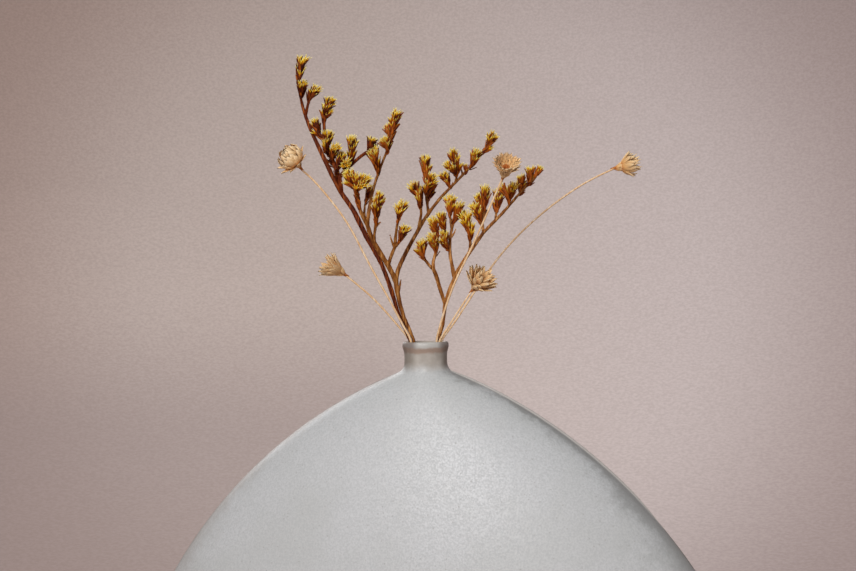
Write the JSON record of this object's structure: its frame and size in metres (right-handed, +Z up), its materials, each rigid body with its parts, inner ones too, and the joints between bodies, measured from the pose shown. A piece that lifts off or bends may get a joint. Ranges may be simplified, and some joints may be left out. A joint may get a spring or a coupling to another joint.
{
  "type": "vase of dried flowers",
  "caption": "Flattened, round-shouldered stoneware vase with a short narrow neck, holding sprigs of yellow dried statice and pale straw flowers.",
  "frame": {"origin": "the middle of the vase's flat foot, on the surface that it stands on", "axes": "+Z up; the vase's broad width runs along X and its narrow depth along Y, with its front facing -Y"},
  "size_m": [0.3015, 0.1123, 0.4249],
  "materials": {
    "glaze": "satin, finely speckled pale grey stoneware glaze, dark and broken along the seam, brown at the neck",
    "dried_wood": "matte dried flower stem, dark red-brown with lighter orange-brown ridges",
    "statice_calyx": "dry papery calyxes, ochre yellow with pale tips, in brown bracts",
    "straw_stem": "matte pale tan straw",
    "straw_bract": "thin papery bracts, cream with an orange-brown base, faint sheen"
  },
  "bodies": {
    "root": {"statice_left_branch": "dried_wood", "statice_left_spikelet_01": "statice_calyx", "statice_left_spikelet_02": "statice_calyx", "statice_left_spikelet_03": "statice_calyx", "statice_left_spikelet_04": "statice_calyx", "statice_left_spikelet_05": "statice_calyx", "statice_left_spikelet_06": "statice_calyx", "statice_left_spikelet_07": "statice_calyx", "statice_left_spikelet_08": "statice_calyx", "statice_left_spikelet_09": "statice_calyx", "statice_left_spikelet_10": "statice_calyx", "statice_left_spikelet_11": "statice_calyx", "statice_middle_branch": "dried_wood", "statice_middle_spikelet_01": "statice_calyx", "statice_middle_spikelet_02": "statice_calyx", "statice_middle_spikelet_03": "statice_calyx", "statice_middle_spikelet_04": "statice_calyx", "statice_middle_spikelet_05": "statice_calyx", "statice_middle_spikelet_06": "statice_calyx", "statice_middle_spikelet_07": "statice_calyx", "statice_middle_spikelet_08": "statice_calyx", "statice_middle_spikelet_09": "statice_calyx", "statice_middle_spikelet_10": "statice_calyx", "statice_middle_spikelet_11": "statice_calyx", "statice_middle_spikelet_12": "statice_calyx", "statice_middle_spikelet_13": "statice_calyx", "statice_middle_spikelet_14": "statice_calyx", "statice_middle_spikelet_15": "statice_calyx", "statice_middle_spikelet_16": "statice_calyx", "statice_middle_spikelet_17": "statice_calyx", "statice_middle_spikelet_18": "statice_calyx", "statice_middle_spikelet_19": "statice_calyx", "statice_right_branch": "dried_wood", "statice_right_spikelet_01": "statice_calyx", "statice_right_spikelet_02": "statice_calyx", "statice_right_spikelet_03": "statice_calyx", "statice_right_spikelet_04": "statice_calyx", "statice_right_spikelet_05": "statice_calyx", "statice_right_spikelet_06": "statice_calyx", "statice_right_spikelet_07": "statice_calyx", "statice_right_spikelet_08": "statice_calyx", "statice_right_spikelet_09": "statice_calyx", "statice_right_spikelet_10": "statice_calyx", "statice_right_spikelet_11": "statice_calyx", "statice_right_spikelet_12": "statice_calyx", "statice_right_spikelet_13": "statice_calyx", "statice_right_spikelet_14": "statice_calyx", "statice_right_spikelet_15": "statice_calyx", "statice_right_spikelet_16": "statice_calyx", "straw_flower_1_head": "straw_bract", "straw_flower_1_stem": "straw_stem", "straw_flower_2_head": "straw_bract", "straw_flower_2_stem": "straw_stem", "straw_flower_3_head": "straw_bract", "straw_flower_3_stem": "straw_stem", "straw_flower_4_head": "straw_bract", "straw_flower_4_stem": "straw_stem", "straw_flower_5_head": "straw_bract", "straw_flower_5_stem": "straw_stem", "vase": "glaze"}
  },
  "joints": []
}
